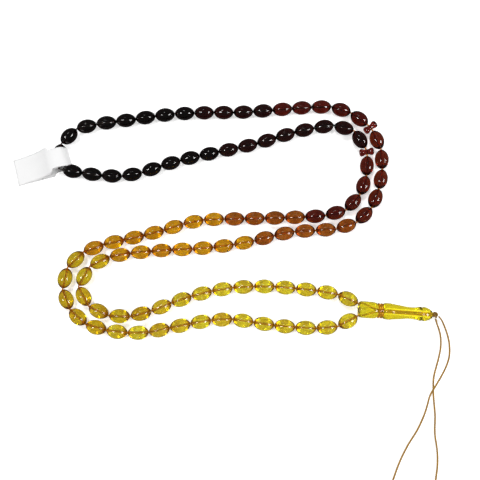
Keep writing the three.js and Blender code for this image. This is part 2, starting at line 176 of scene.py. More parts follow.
# Outlines as (along, radius) in millimetres.
JUNCTION_OUTLINE = [
    (0.0, 3.1), (0.25, 3.38), (0.8, 3.56), (1.6, 3.65), (4, 3.65), (6, 3.62), (7.1, 3.45), (7.6, 3.25),
    (7.9, 2.95),
]
RING_OUTLINE = [
    (0, 2.95), (0.2, 3.25), (0.55, 3.34), (0.85, 3.12), (1.1, 3.02), (1.35, 3.12), (1.65, 3.34),
    (2.0, 3.25), (2.2, 2.95),
]
BODY_OUTLINE = [
    (0, 2.9), (0.35, 3.4), (1.0, 3.6), (2.0, 3.65), (3.2, 3.62), (4.2, 3.42), (6.2, 3.2), (8.2, 2.95),
    (10.4, 2.64), (12.2, 2.56), (13.8, 2.6), (15.0, 2.8), (15.9, 3.05), (16.7, 3.1), (17.05, 2.9),
    (17.3, 2.82), (17.55, 2.92), (17.9, 3.14), (18.8, 3.0), (19.7, 2.7), (20.5, 2.3), (21.2, 1.85),
    (21.6, 1.45),
]
JUNCTION_SEED = 3.3
RING_SEED = 5.7
BODY_SEED = 8.1

# ---- Separators ----
SEPARATOR_HALF_OUTLINE = [
    (-3.15, 1.25), (-3.05, 1.52), (-2.75, 1.68), (-2.3, 1.7), (-1.8, 1.62), (-1.45, 1.45), (-1.15, 1.3),
    (-0.6, 1.24),
]
SEPARATOR_SIDES = 40
SEPARATOR_BORE = 0.62 * MM
SEPARATOR_SEED = 12.5

# ---- Tag ----
TAG_HINGE = Vector((-74.22, 23.6, 3.2)) * MM
TAG_HEADING = math.radians(15.5)
# The strip's own line as (x, z) in millimetres from the thread: over the bead and down to the fold,
# then back below.
TAG_TOP = [
    (-20.5, -2.55), (-16, -1.95), (-11.5, -1.0), (-8, 0.3), (-5.4, 1.7), (-3.4, 2.95), (-1.4, 3.65),
    (0.6, 3.85), (2.4, 3.75), (3.9, 3.2), (5.0, 2.0), (5.6, 0.4), (5.85, -1.0),
]
TAG_BOTTOM = [
    (5.8, -1.9), (5.1, -2.45), (3.6, -2.7), (1.0, -2.8), (-3.0, -2.85), (-8.0, -2.88), (-14, -2.9),
    (-20.4, -2.9),
]
TAG_SAMPLES = 6
TAG_COLUMNS = 14
TAG_HALF_THICKNESS = 0.07 * MM
TAG_FRONT = -3.4 * MM
TAG_BACK = 9.4 * MM
# The strip narrows at the neck, where it leaves the wide panel for the thread.
NECK_AT = -2.6 * MM
NECK_SOFTNESS = 0.2 * MM
NECK_FROM_FRONT = 1.6 * MM
NECK_FROM_BACK = 1.9 * MM
FOLD_ASKEW = 4  # how much nearer the thread the fold is at the back, as a share for each metre
FOLD_ASKEW_FROM = 3 * MM

# ---- Bodies: which body each bead and each length of thread rides on ----
SINGLE_BEADS = [1, 2, 6, 34, 35, 48, 49, 50, 51, 52, 65, 66, 94, 98, 99]
RUNS = [
    ("imame_end_run", 1, 5), ("near_run", 6, 12), ("middle_run", 13, 35), ("far_run", 36, 64),
    ("middle_run", 65, 87), ("near_run", 88, 94), ("imame_end_run", 95, 99),
]

# ---- Ambers: the first bead of each row, and its slot ----
AMBER_ROWS = [
    (1, "amber_lemon"), (11, "amber_olive_gold"), (17, "amber_golden_orange"),
    (24, "amber_cognac_orange"), (29, "amber_red_brown"), (34, "amber_cherry_red"),
    (39, "amber_dark_maroon"), (43, "amber_black_cherry"), (59, "amber_dark_maroon"),
    (67, "amber_dark_cherry"), (72, "amber_cognac_orange"), (76, "amber_golden_orange"),
    (83, "amber_olive_gold"), (88, "amber_lemon"),
]
# Surface tint in the middle and at the tips, where the tint is also a painted reflection of the thread
# seen through the amber, how much red, green and blue a metre of amber takes away, and the share of light
# that passes rather than scattering at the surface.
AMBER_LOOKS = {
    "amber_lemon": ((0.99, 0.97, 0.16), (0.76, 0.30, 0.01), (50, 50, 260), 0.92),
    "amber_olive_gold": ((0.98, 0.88, 0.09), (0.72, 0.25, 0.01), (68, 74, 330), 0.92),
    "amber_golden_orange": ((0.98, 0.76, 0.05), (0.62, 0.17, 0.006), (62, 105, 430), 0.93),
    "amber_cognac_orange": ((0.96, 0.50, 0.05), (0.50, 0.11, 0.006), (150, 245, 320), 0.95),
    "amber_red_brown": ((0.93, 0.40, 0.12), (0.40, 0.07, 0.01), (285, 480, 500), 1.0),
    "amber_cherry_red": ((0.90, 0.34, 0.14), (0.38, 0.06, 0.02), (350, 620, 620), 1.0),
    "amber_dark_maroon": ((0.74, 0.28, 0.18), (0.32, 0.07, 0.04), (600, 950, 950), 1.0),
    "amber_black_cherry": ((0.50, 0.17, 0.15), (0.24, 0.06, 0.05), (900, 1500, 1550), 1.0),
    "amber_dark_cherry": ((0.88, 0.33, 0.14), (0.38, 0.06, 0.02), (310, 520, 540), 1.0),
}
IMAME_LOOK = ((0.99, 0.92, 0.10), (0.98, 0.88, 0.08), (44, 50, 290), 0.92)
RING_LOOK = ((0.97, 0.66, 0.08), (0.97, 0.66, 0.08), (50, 110, 290), 0.92)
SEPARATOR_LOOK = ((0.66, 0.20, 0.14), (0.66, 0.20, 0.14), (520, 1050, 1100), 1.0)

AMBER_IOR = 1.54
# Painted reflection of the thread: from here to full, the tips take their own colour, standing for the
# thread seen through the amber.
TIP_REFLECTION_START = 2.6 * MM  # from the middle of a piece
TIP_REFLECTION_FULL = 4.0 * MM
TIP_REFLECTION_SHARE = 0.95
CLOUD_SHARE = 0.9
CLOUD_DARKNESS = 0.74
# Painted glints: small specks in the amber's colour, lightened towards white, that stand for sparkle.
GLINT_SHARE = 0.8
GLINT_LIGHTNESS = 0.45  # what is left of a painted glint's distance from white
SHADE_SPREAD = 7.31  # turns a piece's seed into its own shade
SHADE_SHARE = 0.30
BORE_ROUGHNESS = 0.4

# ---- Threads and paper: the darker and the lighter colour of each thread, and its slot ----
THREAD_LOOKS = {
    "thread_gold": ((0.42, 0.17, 0.008), (0.74, 0.35, 0.018)),
    "tail_gold": ((0.24, 0.115, 0.003), (0.50, 0.26, 0.008)),
    "thread_brown": ((0.40, 0.12, 0.01), (0.70, 0.25, 0.02)),
    # A near-black copy of the thread: painted shade where it runs among the darkest beads.
    "thread_shaded_dark": ((0.012, 0.006, 0.005), (0.05, 0.02, 0.014)),
}
# One length for each of the RUNS: its name, its look, and the look of the fold after it.
THREADS = [
    ("imame_end_first", "thread_gold", "thread_gold"),
    ("near_first", "thread_gold", "thread_gold"),
    ("middle_first", "thread_brown", "thread_shaded_dark"),
    ("far", "thread_shaded_dark", "thread_shaded_dark"),
    ("middle_last", "thread_brown", "thread_gold"),
    ("near_last", "thread_gold", "thread_gold"),
    ("imame_end_last", "thread_gold", None),
]
PAPER_TINT = (0.96, 0.96, 0.96)

# ---- Camera and light ----
CAMERA_PLACE = Vector((0.010, -0.0488, 0.2420))
CAMERA_AIM = Vector((0.010, -0.0105, 0.0))
CAMERA_ANGLE = math.radians(48.5)
# A soft lamp far overhead: name, tilt to the right and to the back in degrees, strength, width in degrees.
LAMP = ("lamp_back", -12, 26, 1.4, 14)
# Softboxes that also show as highlights: name, place, width, depth, power.
WINDOWS = [
    ("window_left", (-0.62, -0.20, 1.00), 0.26, 0.34, 4.2),
    ("window_right", (0.88, -0.22, 0.80), 0.50, 0.40, 7.5),
]
SURROUND_LIGHT = 0.70  # as seen through a bead, and behind the object
ROOM_LIGHT = 0.10  # as it falls on a surface or is mirrored in it
FLOOR_GLOW_BEHIND = 0.75
FLOOR_GLOW_IN_FRONT = 0.30
FLOOR_GLOW_REACH = 0.30  # how far to the front and back the glow changes
FLOOR_SIZE = 6

scene = bpy.context.scene


# ---- Small helpers ----
def add_object(name, mesh, materials):
    for material in materials:
        mesh.materials.append(material)
    piece = bpy.data.objects.new(name, mesh)
    scene.collection.objects.link(piece)
    return piece


def frame_along(middle, direction):
    """A transform whose X axis lies along direction, with Z as near to up as it can be."""
    across = UP.cross(direction).normalized()
    above = direction.cross(across)
    turn = Matrix((direction, across, above)).transposed().to_4x4()
    return Matrix.Translation(middle) @ turn


def smooth(mesh):
    mesh.polygons.foreach_set("use_smooth", [True] * len(mesh.polygons))


def turned_rings(profile, sides, closed):
    """Vertices and faces of a shape turned about X, from (along, radius) pairs.

    Closed joins the last ring to the first.
    """
    vertices = []
    faces = []
    for along, radius in profile:
        for i in range(sides):
            angle = math.tau * i / sides
            vertices.append((along, radius * math.cos(angle), radius * math.sin(angle)))
    rings = len(profile)
    for ring in range(rings if closed else rings - 1):
        after = (ring + 1) % rings
        for i in range(sides):
            j = (i + 1) % sides
            faces.append((ring * sides + i, ring * sides + j, after * sides + j, after * sides + i))
    return vertices, faces


def curve_through(points, samples):
    """Points along a uniform Catmull-Rom curve through a route, with a ghost point past each end."""
    route = [Vector(point) for point in points]
    route = [2 * route[0] - route[1]] + route + [2 * route[-1] - route[-2]]
    line = []
    for i in range(1, len(route) - 2):
        before, start, end, after = route[i - 1:i + 3]
        for k in range(samples):
            t = k / samples
            line.append(0.5 * (2 * start + (end - before) * t
                               + (2 * before - 5 * start + 4 * end - after) * t * t
                               + (3 * start - before - 3 * end + after) * t ** 3))
    line.append(route[-2])
    return line


def resampled(points, step):
    """The same polyline with points no further apart than step, and its corners kept."""
    line = [points[0]]
    for start, end in zip(points, points[1:]):
        count = max(1, math.ceil((end - start).length / step))
        for k in range(1, count + 1):
            line.append(start.lerp(end, k / count))
    return line


def swept(points, radius_at, sides, capped=True):
    """A tube along points, as vertices and faces; radius_at(distance, angle) gives its radius."""
    vertices = []
    faces = []
    distance = 0.0
    side = None
    for i, point in enumerate(points):
        if i:
            distance += (point - points[i - 1]).length
        ahead = (points[min(i + 1, len(points) - 1)] - points[max(i - 1, 0)]).normalized()
        if side is None:
            side = ahead.orthogonal().normalized()
        side = (side - ahead * side.dot(ahead)).normalized()
        other = ahead.cross(side)
        for k in range(sides):
            angle = math.tau * k / sides
            radius = radius_at(distance, angle)
            out = side * math.cos(angle) + other * math.sin(angle)
            vertices.append(point + out * radius)
    for i in range(len(points) - 1):
        for k in range(sides):
            n = (k + 1) % sides
            faces.append((i * sides + k, i * sides + n, (i + 1) * sides + n, (i + 1) * sides + k))
    if capped:
        faces.append(tuple(reversed(range(sides))))
        last = (len(points) - 1) * sides
        faces.append(tuple(range(last, last + sides)))
    return vertices, faces


def new_mesh(name, vertices, faces, mend=False):
    """A smooth mesh; mend turns all its faces outwards."""
    mesh = bpy.data.meshes.new(name)
    mesh.from_pydata([tuple(v) for v in vertices], [], faces)
    mesh.validate()
    if mend:
        solid = bmesh.new()
        solid.from_mesh(mesh)
        bmesh.ops.recalc_face_normals(solid, faces=solid.faces)
        solid.to_mesh(mesh)
        solid.free()
    smooth(mesh)
    return mesh


# ---- Node helpers ----
class Nodes:
    """Short names for building a node tree."""

    def __init__(self, name):
        self.material = bpy.data.materials.new(name)
        self.material.use_nodes = True
        self.tree = self.material.node_tree
        self.tree.nodes.clear()
        self.output = self.add("ShaderNodeOutputMaterial")

    def add(self, kind, **settings):
        node = self.tree.nodes.new(kind)
        for key, value in settings.items():
            setattr(node, key, value)
        return node

    def link(self, source, target):
        self.tree.links.new(source, target)

    def shader(self, **values):
        node = self.add("ShaderNodeBsdfPrincipled")
        for key, value in values.items():
            node.inputs[key.replace("_", " ")].default_value = value
        self.link(node.outputs[0], self.output.inputs["Surface"])
        return node

    def place(self):
        """The piece's own coordinates, in metres."""
        return self.add("ShaderNodeTexCoord").outputs["Object"]

    def seed(self):
        """A number that is the same all over one piece and differs between pieces."""
        return self.add("ShaderNodeAttribute", attribute_name="seed").outputs["Fac"]

    def noise(self, scale, detail=3.0, roughness=0.5, seeded=True):
        node = self.add("ShaderNodeTexNoise", noise_dimensions="4D" if seeded else "3D")
        node.inputs["Scale"].default_value = scale
        node.inputs["Detail"].default_value = detail
        node.inputs["Roughness"].default_value = roughness
        self.link(self.place(), node.inputs["Vector"])
        if seeded:
            self.link(self.seed(), node.inputs["W"])
        return node.outputs["Fac"]

    def ramp(self, value, low, high, at_low=0.0, at_high=1.0):
        """A value that goes from at_low to at_high as another goes from low to high."""
        node = self.add("ShaderNodeMapRange")
        node.inputs["From Min"].default_value = low
        node.inputs["From Max"].default_value = high
        node.inputs["To Min"].default_value = at_low
        node.inputs["To Max"].default_value = at_high
        self.link(value, node.inputs["Value"])
        return node.outputs["Result"]

    def mix(self, share, first, second):
        """Two colours mixed; each is a colour or a socket, and the share is a number or a socket."""
        node = self.add("ShaderNodeMix", data_type="RGBA")
        share_socket, first_socket, second_socket = (node.inputs[i] for i in (0, 6, 7))
        for socket, value in ((share_socket, share), (first_socket, first), (second_socket, second)):
            if isinstance(value, bpy.types.NodeSocket):
                self.link(value, socket)
            elif isinstance(value, (int, float)):
                socket.default_value = value
            else:
                socket.default_value = (*value, 1)
        return node.outputs[2]

    def math(self, operation, first, second=None):
        node = self.add("ShaderNodeMath", operation=operation)
        for socket, value in zip(node.inputs, (first, second)):
            if isinstance(value, bpy.types.NodeSocket):
                self.link(value, socket)
            elif value is not None:
                socket.default_value = value
        return node.outputs[0]

    def bump(self, height, strength, distance, shader):
        node = self.add("ShaderNodeBump")
        node.inputs["Strength"].default_value = strength
        node.inputs["Distance"].default_value = distance
        self.link(height, node.inputs["Height"])
        self.link(node.outputs[0], shader.inputs["Normal"])


def amber_material(name, middle, tips, taken, clearness):
    """Clear amber: tinted by depth, at the bore and at the tips, where the tint is also a painted
    reflection of the thread, with clouds, painted glints and a hand polish.
    """
    n = Nodes(name)
    shader = n.shader(IOR=AMBER_IOR, Transmission_Weight=clearness)
    place = n.add("ShaderNodeSeparateXYZ")
    n.link(n.place(), place.inputs[0])
    along = n.math("ABSOLUTE", place.outputs[0])
    # Painted reflection: towards the tips the colour turns to that of the thread seen through the amber.
    tip_reflection_share = n.ramp(along, TIP_REFLECTION_START, TIP_REFLECTION_FULL)
    bore = n.add("ShaderNodeAttribute", attribute_name="bore").outputs["Fac"]
    between = [(m + t) / 2 for m, t in zip(middle, tips)]
    clouds = n.ramp(n.noise(330, 4.0, 0.62), 0.40, 0.62)
    clouded = n.mix(n.math("MULTIPLY", clouds, CLOUD_SHARE), middle, [c * CLOUD_DARKNESS for c in between])
    # Painted glints: small specks lightened towards white.
    painted_glints = n.ramp(n.noise(720, 2.0, 0.5), 0.60, 0.68)
    glint_colour = [1 - (1 - c) * GLINT_LIGHTNESS for c in middle]
    glinted = n.mix(n.math("MULTIPLY", painted_glints, GLINT_SHARE), clouded, glint_colour)
    own = n.math("FRACT", n.math("MULTIPLY", n.seed(), SHADE_SPREAD))
    shaded = n.mix(n.ramp(own, 0, 1, 0.0, SHADE_SHARE), glinted, [c * 0.9 for c in tips])
    outside = n.mix(n.math("MULTIPLY", tip_reflection_share, TIP_REFLECTION_SHARE), shaded, tips)
    n.link(n.mix(bore, outside, between), shader.inputs["Base Color"])
    polish = n.ramp(n.noise(900, 2.0), 0.3, 0.7, 0.02, 0.07)
    roughness = n.math("ADD", polish, n.math("MULTIPLY", bore, BORE_ROUGHNESS))
    n.link(roughness, shader.inputs["Roughness"])
    n.bump(n.noise(300, 3.0), 0.6, 0.22 * MM, shader)
    volume = n.add("ShaderNodeVolumeAbsorption")
    density = max(taken)
    volume.inputs["Color"].default_value = (*(1 - share / density for share in taken), 1)
    volume.inputs["Density"].default_value = density
    n.link(volume.outputs[0], n.output.inputs["Volume"])
    return n.material


def speck_material():
    """Bits of bark and leaf caught in the amber."""
    n = Nodes("inclusion_dark")
    shader = n.shader()
    grain = n.noise(3000, 3.0, seeded=False)
    n.link(n.mix(grain, (0.02, 0.008, 0.004), (0.10, 0.035, 0.012)), shader.inputs["Base Color"])
    n.link(n.ramp(n.noise(2400, 2.0, seeded=False), 0.3, 0.7, 0.5, 0.85), shader.inputs["Roughness"])
    return n.material


def thread_material(name, dark, light):
    """Waxed, twisted thread: painted shade in the grooves between its plies, with fine fibres."""
    n = Nodes(name)
    shader = n.shader(Sheen_Weight=0.35, Sheen_Roughness=0.5)
    fibres = n.noise(5200, 4.0, 0.65, seeded=False)
    patches = n.ramp(n.noise(240, 2.0, seeded=False), 0.35, 0.7)
    groove = n.add("ShaderNodeAttribute", attribute_name="ply").outputs["Fac"]
    base = n.mix(n.ramp(fibres, 0.35, 0.65), dark, light)
    patched = n.mix(n.math("MULTIPLY", patches, 0.35), base, [c * 0.7 for c in light])
    # Painted shade: darker in the grooves between the plies.
    groove_shade = n.ramp(groove, 0.0, 0.6, 0.55, 0.0)
    n.link(n.mix(groove_shade, patched, [c * 0.45 for c in dark]), shader.inputs["Base Color"])
    n.link(n.ramp(fibres, 0.3, 0.7, 0.42, 0.68), shader.inputs["Roughness"])
    n.bump(fibres, 0.5, 0.08 * MM, shader)
    return n.material


def paper_material(name, tint):
    """Smooth label stock with the faint mottle of paper fibres."""
    n = Nodes(name)
    shader = n.shader()
    fibres = n.noise(2600, 5.0, 0.7, seeded=False)
    mottle = n.noise(180, 2.0, seeded=False)
    base = n.mix(n.ramp(fibres, 0.3, 0.7), [c * 0.965 for c in tint], tint)
    mottled = n.mix(n.ramp(mottle, 0.3, 0.75, 0.0, 0.5), base, [c * 0.95 for c in tint])
    n.link(mottled, shader.inputs["Base Color"])
    n.link(n.ramp(fibres, 0.3, 0.7, 0.55, 0.75), shader.inputs["Roughness"])
    n.bump(fibres, 0.25, 0.03 * MM, shader)
    return n.material


def floor_material():
    """Plain white board, lit a little more towards the back."""
    n = Nodes("floor_white")
    shader = n.shader(Emission_Color=(1, 1, 1, 1))
    board = n.mix(n.noise(30, 3.0, seeded=False), (0.94, 0.94, 0.94), (0.965, 0.965, 0.965))
    n.link(board, shader.inputs["Base Color"])
    n.link(n.ramp(n.noise(300, 2.0, seeded=False), 0.3, 0.7, 0.55, 0.7), shader.inputs["Roughness"])
    place = n.add("ShaderNodeSeparateXYZ")
    n.link(n.place(), place.inputs[0])
    glow = n.ramp(place.outputs[1], -FLOOR_GLOW_REACH, FLOOR_GLOW_REACH,
                  FLOOR_GLOW_IN_FRONT, FLOOR_GLOW_BEHIND)
    n.link(glow, shader.inputs["Emission Strength"])
    return n.material


# ---- Camera, light and floor ----
def add_camera():
    data = bpy.data.cameras.new("camera")
    data.angle = CAMERA_ANGLE
    data.clip_start = 0.005
    data.clip_end = 20
    camera = bpy.data.objects.new("camera", data)
    camera.location = CAMERA_PLACE
    camera.rotation_euler = (CAMERA_AIM - CAMERA_PLACE).to_track_quat("-Z", "Y").to_euler()
    scene.collection.objects.link(camera)
    scene.camera = camera


def add_lamp(name, tilt_right, tilt_back, strength, spread):
    """A distant soft lamp, tilted from overhead, that lights surfaces but shows in no reflection."""
    data = bpy.data.lights.new(name, "SUN")
    data.energy = strength
    data.angle = math.radians(spread)
    lamp = bpy.data.objects.new(name, data)
    towards = Vector((math.tan(math.radians(tilt_right)), math.tan(math.radians(tilt_back)), 1))
    lamp.location = towards.normalized()
    lamp.rotation_euler = (-towards).to_track_quat("-Z", "Y").to_euler()
    lamp.visible_glossy = False
    scene.collection.objects.link(lamp)


def add_window(name, place, width, depth, power):
    """A softbox turned towards the origin."""
    data = bpy.data.lights.new(name, "AREA")
    data.shape = "RECTANGLE"
    data.size = width
    data.size_y = depth
    data.energy = power
    window = bpy.data.objects.new(name, data)
    window.location = place
    window.visible_camera = False
    window.rotation_euler = (-window.location).to_track_quat("-Z", "Y").to_euler()
    scene.collection.objects.link(window)


def studio_world():
    """A white surround behind the object and for light through the beads, and a dim one otherwise."""
    world = bpy.data.worlds.new("studio")
    world.use_nodes = True
    tree = world.node_tree
    background = tree.nodes["Background"]
    path = tree.nodes.new("ShaderNodeLightPath")
    light = tree.nodes.new("ShaderNodeMapRange")
    seen = tree.nodes.new("ShaderNodeMath")
    seen.operation = "MAXIMUM"
    light.inputs["To Min"].default_value = ROOM_LIGHT
    light.inputs["To Max"].default_value = SURROUND_LIGHT
    tree.links.new(path.outputs["Is Transmission Ray"], seen.inputs[0])
    tree.links.new(path.outputs["Is Camera Ray"], seen.inputs[1])
    tree.links.new(seen.outputs[0], light.inputs["Value"])
    tree.links.new(light.outputs["Result"], background.inputs["Strength"])
    background.inputs["Color"].default_value = (1, 1, 1, 1)
    scene.world = world


def add_stage():
    bpy.ops.mesh.primitive_plane_add(size=FLOOR_SIZE, location=(0, 0, 0))
    floor = bpy.context.object
    floor.name = "floor"
    floor.visible_glossy = False
    floor.data.materials.append(floor_material())
    add_lamp(*LAMP)
    for window in WINDOWS:
        add_window(*window)
    studio_world()
    scene.view_settings.view_transform = "Standard"
    scene.view_settings.look = "None"


# ---- The walk along the thread ----
def value_at(table, key, values):
    i = 1
    while i < len(table) - 1 and table[i] < key:
        i += 1
    share = (key - table[i - 1]) / (table[i] - table[i - 1])
    return values[i - 1] + (values[i] - values[i - 1]) * share


def tip_points(route, beads, bare_start, bare_end):
    """The points where bead tips meet along a route, with bare thread left at its start and its end."""
    samples = curve_through([(x, y, THREAD_HEIGHT) for x, y in route], ROUTE_SAMPLES)
    lengths = [0.0]
    shares = [0.0]
    previous = samples[1] - samples[0]
    for before, point in zip(samples, samples[1:]):
        step = point - before
        lengths.append(lengths[-1] + step.length)
        shares.append(shares[-1] + step.length - BEND_ALLOWANCE * step.angle(previous, 0))
        previous = step
    start = value_at(lengths, bare_start, shares)
    end = value_at(lengths, lengths[-1] - bare_end, shares)
    return [value_at(shares, start + (end - start) * i / beads, samples) for i in range(beads + 1)]


def at_thread_height(place):
    return Vector((place[0], place[1], THREAD_HEIGHT))


FIRST_ROW = tip_points(IMAME_TO_SEPARATOR, 33, BARE_AT_IMAME, BARE_AT_SEPARATOR)
SECOND_ROW = tip_points(SEPARATOR_TO_TAG, 17, BARE_AT_SEPARATOR, BARE_ABOVE_TAG_CORNER)
THIRD_ROW = tip_points(TAG_TO_SEPARATOR, 16, BARE_BELOW_TAG_CORNER, BARE_AT_SEPARATOR)
LAST_ROW = tip_points(SEPARATOR_TO_IMAME, 33, BARE_AT_SEPARATOR, BARE_AT_IMAME)
FIRST_SEPARATOR = at_thread_height(IMAME_TO_SEPARATOR[-1])
SECOND_SEPARATOR = at_thread_height(TAG_TO_SEPARATOR[-1])
TAG_CORNER = at_thread_height(SEPARATOR_TO_TAG[-1])
STRETCHES = [pair for row in (FIRST_ROW, SECOND_ROW, THIRD_ROW, LAST_ROW) for pair in zip(row, row[1:])]
CORNER_AFTER = {33: FIRST_SEPARATOR, 50: TAG_CORNER, 66: SECOND_SEPARATOR}


def body_of_bead(number):
    if number in SINGLE_BEADS:
        return f"bead_{number:02d}"
    return next(body for body, first, last in RUNS if first <= number <= last)


def node_of_bead(number):
    if number in SINGLE_BEADS:
        return f"bead_{number:02d}"
    names = [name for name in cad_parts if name.startswith("beads_")]
    return next(name for name in names if int(name[6:8]) <= number <= int(name[12:14]))


def slot_of_bead(number):
    return [slot for first, slot in AMBER_ROWS if first <= number][-1]


def middle_of(number):
    start, end = STRETCHES[number - 1]
    return (start + end) / 2


def seeded(mesh, value):
    seed = mesh.attributes.new("seed", "FLOAT", "POINT")
    seed.data.foreach_set("value", [value] * len(mesh.vertices))


# ---- Beads ----
def bead_profile(width):
    """The outside from tip to tip, a rounded rim, and the bore back again, as (along, radius)."""
    half = BEAD_LENGTH / 2
    radius = BEAD_RADIUS * width
    tip = TIP_RADIUS / radius
    outside = []
    for i in range(BEAD_STATIONS + 1):
        # Stations lie closer together towards the tips, where the surface turns faster.
        station = math.sin(math.pi / 2 * (2 * i / BEAD_STATIONS - 1))
        round_share = math.sqrt(1 - station ** 2 * (1 - tip ** 2))
        pointed_share = 1 - station ** 2 * (1 - tip)
        share = round_share + POINTEDNESS * (pointed_share - round_share)
        outside.append((station * (half - RIM_RADIUS), radius * share))
    rim = []
    for i in range(1, RIM_STEPS + 1):
        angle = math.pi / 2 * i / RIM_STEPS
        rim.append((half - RIM_RADIUS + RIM_RADIUS * math.sin(angle),
                    TIP_RADIUS - RIM_RADIUS + RIM_RADIUS * math.cos(angle)))
    bore = [(half * share, BORE_RADIUS) for share in BORE_RINGS]
    return [(-along, r) for along, r in reversed(rim)] + outside + rim + bore


def flake(centre, size):
    """A small flattened splinter with uneven corners, as vertices and faces."""
    about_thread = Matrix.Rotation(draws.uniform(0, math.tau), 3, "X")
    turn = about_thread @ Matrix.Rotation(draws.uniform(0, math.tau), 3, "Z")
    corners = []
    for angle in SPECK_CORNERS:
        x = size * draws.uniform(0.6, 1.2) * math.cos(angle)
        y = size * draws.uniform(0.3, 0.7) * math.sin(angle)
        corners.append(Vector((x, y, 0)))
    peaks = [Vector((0, 0, size * 0.22)), Vector((0, 0, -size * 0.18))]
    vertices = [centre + turn @ v for v in corners + peaks]
    count = len(corners)
    faces = [(i, (i + 1) % count, count) for i in range(count)]
    faces += [((i + 1) % count, i, count + 1) for i in range(count)]
    return vertices, faces


def add_bead(number, ambers, specks):
    profile = bead_profile(1 - BEAD_SPREAD * draws.random())
    vertices, faces = turned_rings(profile, BEAD_SIDES, closed=True)
    shell_vertices = len(vertices)
    shell_faces = len(faces)
    for _ in range(draws.choice(SPECK_COUNTS)):
        angle = draws.uniform(0, math.tau)
        out = draws.uniform(*SPECK_DEPTHS) * BEAD_RADIUS
        along = draws.uniform(-SPECK_REACH, SPECK_REACH) * BEAD_LENGTH / 2
        centre = Vector((along, out * math.cos(angle), out * math.sin(angle)))
        corners, sides = flake(centre, draws.uniform(*SPECK_SIZES))
        base = len(vertices)
        vertices += corners
        faces += [tuple(base + i for i in side) for side in sides]
    name = f"amber_bead_{number:02d}"
    mesh = new_mesh(name, vertices, faces)
    slot = slot_of_bead(number)
    piece = add_object(name, mesh, [ambers[slot], specks])
    for polygon in mesh.polygons[shell_faces:]:
        polygon.material_index = 1
        polygon.use_smooth = False
    seeded(mesh, draws.uniform(0, SEED_RANGE))
    bore_from = shell_vertices - len(BORE_RINGS) * BEAD_SIDES
    bore = mesh.attributes.new("bore", "FLOAT", "POINT")
    bore.data.foreach_set(
        "value", [float(bore_from <= i < shell_vertices) for i in range(len(mesh.vertices))])
    mesh.transform(Matrix.Rotation(draws.uniform(0, math.tau), 4, "X"))
    start, end = STRETCHES[number - 1]
    piece.matrix_world = frame_along((start + end) / 2, (end - start).normalized())
    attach(piece, body_of_bead(number))
    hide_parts(node_of_bead(number))


def add_beads():
    ambers = {slot: amber_material(slot, *look) for slot, look in AMBER_LOOKS.items()}
    specks = speck_material()
    for number in range(1, len(STRETCHES) + 1):
        add_bead(number, ambers, specks)


# ---- Thread ----
def ply_turn(distance, angle):
    """How far round its plies a point of the thread's surface is."""
    return THREAD_PLIES * (angle + math.tau * distance / THREAD_PITCH)


def ply_radius(radius):
    def radius_at(distance, angle):
        return radius * (1 - PLY_DEPTH + PLY_DEPTH * math.cos(ply_turn(distance, angle)))
    return radius_at


def thread_piece(name, points, material, sides=THREAD_SIDES, step=THREAD_STEP):
    """A length of twisted thread along points, with its ply depth as an attribute for the material's
    painted shade in the grooves.
    """
    line = resampled(points, step)
    vertices, faces = swept(line, ply_radius(THREAD_RADIUS), sides)
    mesh = new_mesh(name, vertices, faces)
    depths = []
    distance = 0.0
    for i, point in enumerate(line):
        if i:
            distance += (point - line[i - 1]).length
        for k in range(sides):
            depths.append(0.5 + 0.5 * math.cos(ply_turn(distance, math.tau * k / sides)))
    ply = mesh.attributes.new("ply", "FLOAT", "POINT")
    ply.data.foreach_set("value", depths)
    return add_object(name, mesh, [material])


def thread_points(first, last):
    """The thread's points from the middle of one bead to the middle of another."""
    points = [middle_of(first)]
    for number in range(first, last):
        points.append(STRETCHES[number - 1][1])
        if number in CORNER_AFTER:
            points.append(CORNER_AFTER[number])
            points.append(STRETCHES[number][0])
        elif (points[-1] - STRETCHES[number][0]).length > TOUCHING:
            points.append(STRETCHES[number][0])
    points.append(middle_of(last))
    return points


def add_threads(threads):
    """Lengths of thread through the beads, each on its run, and short ones across the folds between runs,
    left on no run.
    """
    for (part, look, _), (body, first, last) in zip(THREADS, RUNS):
        piece = thread_piece(f"cord_{part}", thread_points(first, last), threads[look])
        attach(piece, body)
        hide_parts(f"thread_{part}")
    for (_, _, look), (body, _, before), (next_body, _, _) in zip(THREADS, RUNS, RUNS[1:]):
        tip = STRETCHES[before - 1][1]
        piece = thread_piece(f"cord_fold_{before}", thread_points(before, before + 1), threads[look])
        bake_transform(piece)
    world = imame_frame()
    for index, (number, side) in enumerate(((1, 1), (99, -1))):
        entry = world @ entry_point(side)
        inside = entry.lerp(world @ meeting_point(side), ENTRY_DEPTH)
        tip = STRETCHES[number - 1][index]
        points = [middle_of(number), tip, entry, inside]
        piece = thread_piece(f"cord_at_imame_{index + 1}", points, threads["thread_gold"])
        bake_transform(piece)


# ---- Turned pieces and their bores ----
def smooth_profile(outline, samples, start=0.0):
    """A rounded outline in metres through (along, radius) points in millimetres."""
    line = curve_through([(start + along * MM, radius * MM, 0) for along, radius in outline], samples)
    return [(point.x, point.y) for point in line]


def capped_turning(profile, sides):
    vertices, faces = turned_rings(profile, sides, closed=False)
    faces.append(tuple(reversed(range(sides))))
    last = (len(profile) - 1) * sides
    faces.append(tuple(range(last, last + sides)))
    return vertices, faces


